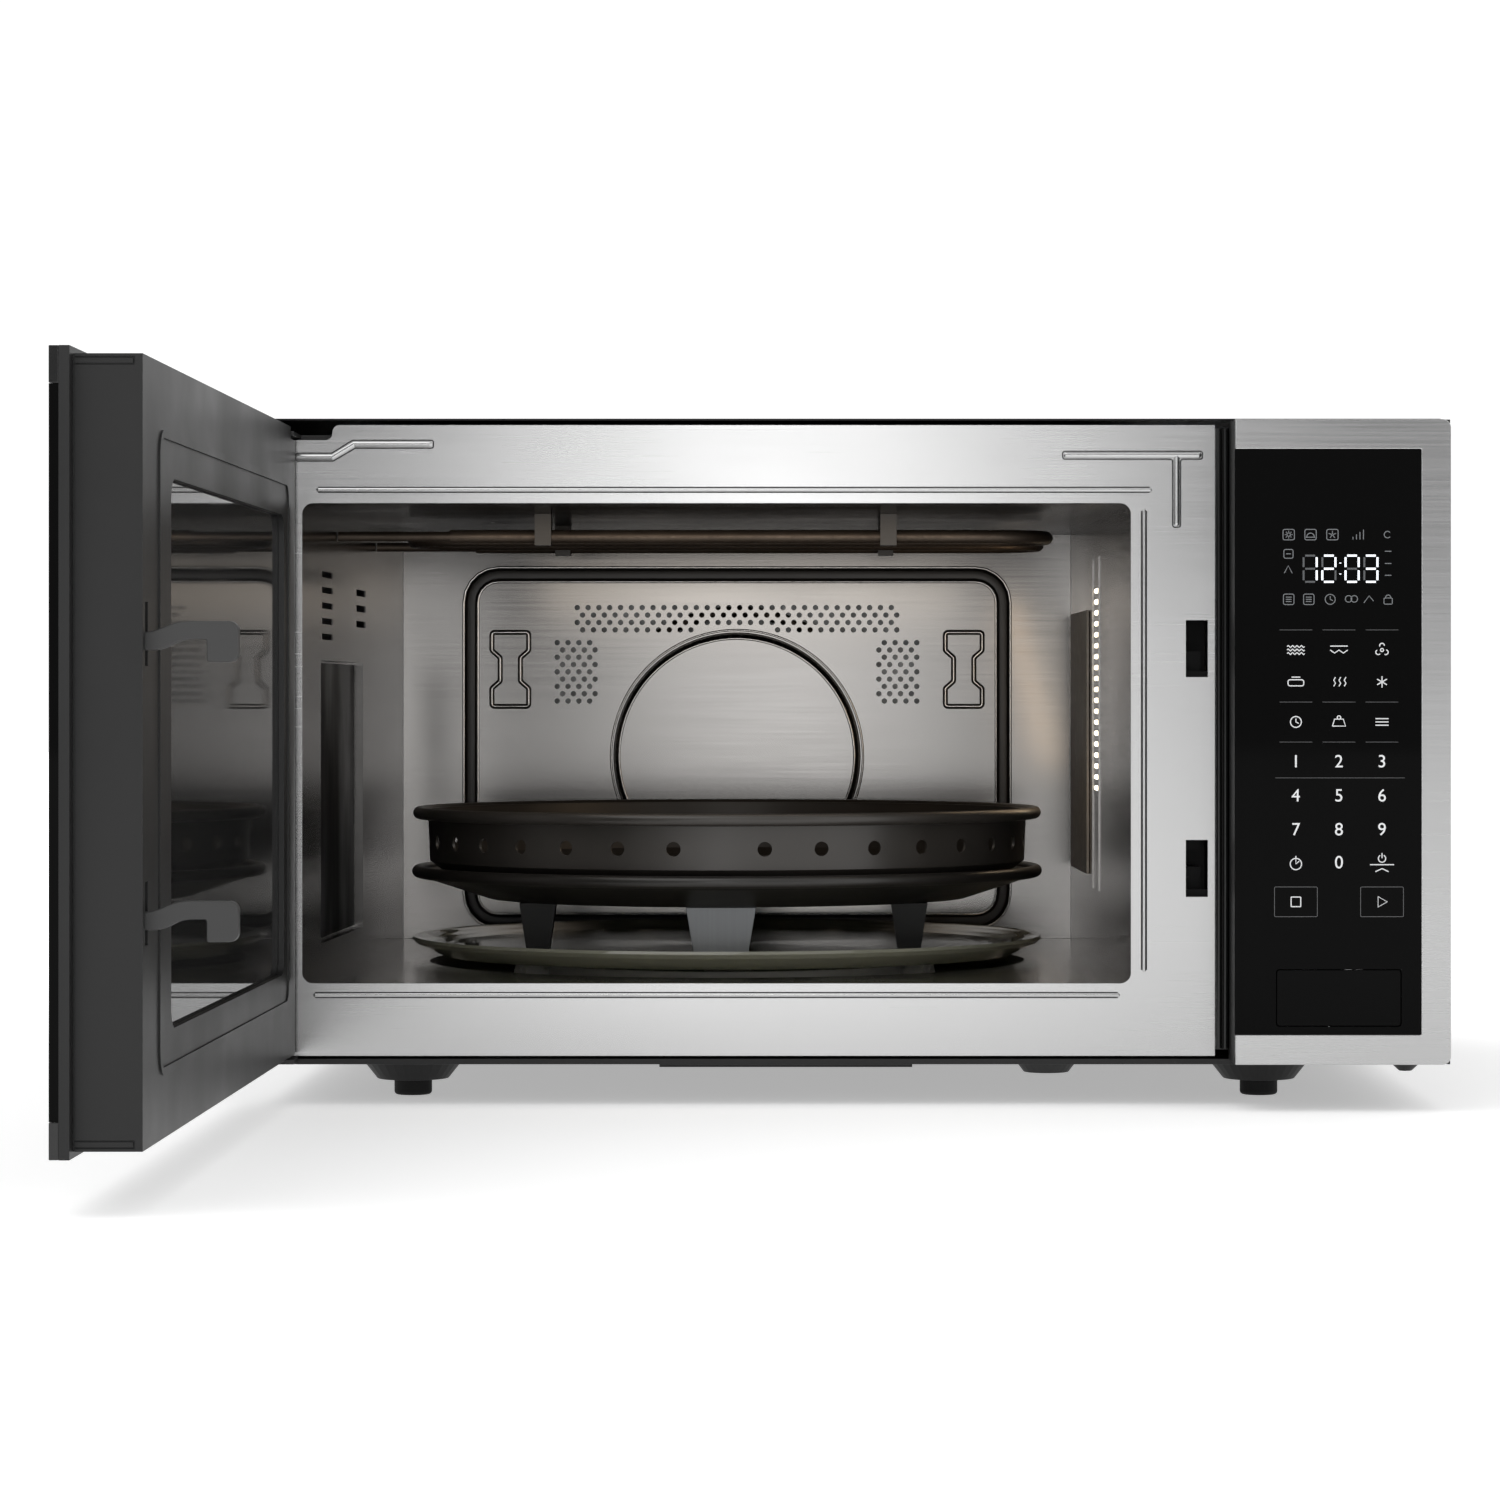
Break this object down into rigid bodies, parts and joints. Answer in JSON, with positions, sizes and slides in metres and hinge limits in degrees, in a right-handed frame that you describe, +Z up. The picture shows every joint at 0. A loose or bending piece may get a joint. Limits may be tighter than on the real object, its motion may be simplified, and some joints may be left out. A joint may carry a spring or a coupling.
{
  "type": "microwave oven",
  "caption": "Countertop microwave oven with a side-hinged door, turntable, air-fry basket, grill heater and push-button door release.",
  "frame": {"origin": "on the counter, midway across the case, in the plane of the front frame", "axes": "+X to the right of someone facing the oven, +Y towards its back, +Z up"},
  "size_m": [0.566, 0.914, 0.32],
  "materials": {
    "case_paint": "satin powder coat, black",
    "base_paint": "dark grey coated steel",
    "stainless": "fine horizontal brush",
    "cavity_steel": "stainless, lightly brushed",
    "galvanised": "zinc-coated sheet",
    "black_glass": "gloss, printed black behind",
    "window_glass": "dark tinted glass",
    "clear_glass": "clear tempered glass",
    "door_plastic": "fine moulded texture, dark grey",
    "panel_plastic": "fine moulded texture, black",
    "strip_plastic": "gloss black",
    "latch_plastic": "moulded, dark grey",
    "button_gloss": "gloss black",
    "foot_rubber": "black rubber",
    "nonstick": "dark non-stick coat",
    "clip_steel": "grey coated steel",
    "heater_sheath": "heat-darkened steel tube",
    "mica": "mica sheet",
    "iron": "laminated core, varnished",
    "aluminium": "plain",
    "board": "circuit board",
    "white_plastic": "moulded, off-white",
    "display": "display behind the glass",
    "hinge_steel": "black coated steel",
    "screw_steel": "blackened",
    "door_plastic_metal": "black enamelled sheet",
    "leg_plastic": "heat-proof black plastic"
  },
  "bodies": {
    "cabinet": {"base_plate": "base_paint", "outer_case": "case_paint", "rear_panel": "galvanised", "feet": "foot_rubber", "cord_inlet": "panel_plastic", "case_screws": "screw_steel", "front_frame": "stainless", "side_strip": "strip_plastic", "cavity_floor": "cavity_steel", "cavity_ceiling": "cavity_steel", "cavity_left_wall": "cavity_steel", "cavity_right_wall": "cavity_steel", "cavity_rear_wall": "cavity_steel", "waveguide_cover": "mica", "waveguide": "galvanised", "magnetron": "aluminium", "transformer": "iron", "capacitor": "aluminium", "mains_filter": "board", "cooling_fan_housing": "white_plastic", "air_duct": "white_plastic", "grill_element": "heater_sheath", "grill_brackets": "galvanised", "convection_housing": "galvanised", "convection_heater": "heater_sheath", "convection_motor": "galvanised", "cavity_lamp": "white_plastic", "thermal_cutouts": "aluminium", "latch_bracket": "panel_plastic", "interlock_switches": "panel_plastic", "turntable_motor": "galvanised", "hinge_top": "hinge_steel", "hinge_bottom": "hinge_steel", "control_housing": "panel_plastic", "control_trim": "stainless", "control_glass": "black_glass", "display_module": "display", "control_board": "board", "button_spring": "galvanised"},
    "door": {"door_trim": "stainless", "door_glass": "black_glass", "door_frame": "door_plastic", "door_screen": "door_plastic_metal", "door_window": "window_glass", "latch_spring": "galvanised"},
    "latch": {"latch_hooks": "latch_plastic"},
    "button": {"door_button": "button_gloss"},
    "lever": {"release_lever": "latch_plastic"},
    "turntable": {"glass_turntable": "clear_glass", "turntable_coupler": "white_plastic", "lower_tray": "nonstick", "tray_legs": "leg_plastic", "tray_bracket": "clip_steel", "air_fry_basket": "nonstick"},
    "roller_ring": {"roller_ring": "white_plastic"},
    "roller_1": {"roller_1": "white_plastic"},
    "roller_2": {"roller_2": "white_plastic"},
    "roller_3": {"roller_3": "white_plastic"},
    "convection_fan": {"convection_fan": "aluminium"},
    "cooling_fan": {"cooling_fan": "white_plastic"}
  },
  "joints": [
    {"name": "door_hinge", "type": "hinge", "parent": "cabinet", "child": "door", "pos_m": [-0.264, -0.009, 0.17], "axis": [0, 0, 1], "range_deg": [-12, 90]},
    {"name": "latch_slide", "type": "slide", "parent": "door", "child": "latch", "axis": [0, 0, 1], "range_m": [-0.0033, 0.003], "stiffness_N_per_m": 1500, "deforming": ["latch_spring"]},
    {"name": "button_slide", "type": "slide", "parent": "cabinet", "child": "button", "axis": [0, 1, 0], "range_m": [0, 0.005], "stiffness_N_per_m": 500, "deforming": ["button_spring"]},
    {"name": "lever_hinge", "type": "hinge", "parent": "cabinet", "child": "lever", "pos_m": [0.19, 0.014, 0.075], "axis": [1, 0, 0], "range_deg": [0, 15.2]},
    {"name": "turntable_spin", "type": "hinge", "parent": "cabinet", "child": "turntable", "pos_m": [-0.0612, 0.192, 0.05], "axis": [0, 0, 1], "continuous": true},
    {"name": "roller_ring_spin", "type": "hinge", "parent": "cabinet", "child": "roller_ring", "pos_m": [-0.0612, 0.192, 0.0537], "axis": [0, 0, 1], "continuous": true},
    {"name": "roller_1_spin", "type": "hinge", "parent": "roller_ring", "child": "roller_1", "pos_m": [-0.0612, 0.304, 0.0537], "axis": [0, 1, 0], "continuous": true},
    {"name": "roller_2_spin", "type": "hinge", "parent": "roller_ring", "child": "roller_2", "pos_m": [-0.1582, 0.136, 0.0537], "axis": [-0.866, -0.5, 0], "continuous": true},
    {"name": "roller_3_spin", "type": "hinge", "parent": "roller_ring", "child": "roller_3", "pos_m": [0.0358, 0.136, 0.0537], "axis": [0.866, -0.5, 0], "continuous": true},
    {"name": "convection_fan_spin", "type": "hinge", "parent": "cabinet", "child": "convection_fan", "pos_m": [-0.0612, 0.4, 0.158], "axis": [0, 1, 0], "continuous": true},
    {"name": "cooling_fan_spin", "type": "hinge", "parent": "cabinet", "child": "cooling_fan", "pos_m": [0.205, 0.415, 0.19], "axis": [0, 1, 0], "continuous": true}
  ],
  "couplings": [
    {"joint": "lever_hinge", "follows": "button_slide", "rad_per_m": 52.3},
    {"joint": "roller_ring_spin", "follows": "turntable_spin", "ratio": 0.5},
    {"joint": "roller_1_spin", "follows": "turntable_spin", "ratio": -8.8889},
    {"joint": "roller_2_spin", "follows": "turntable_spin", "ratio": -8.8889},
    {"joint": "roller_3_spin", "follows": "turntable_spin", "ratio": -8.8889}
  ]
}
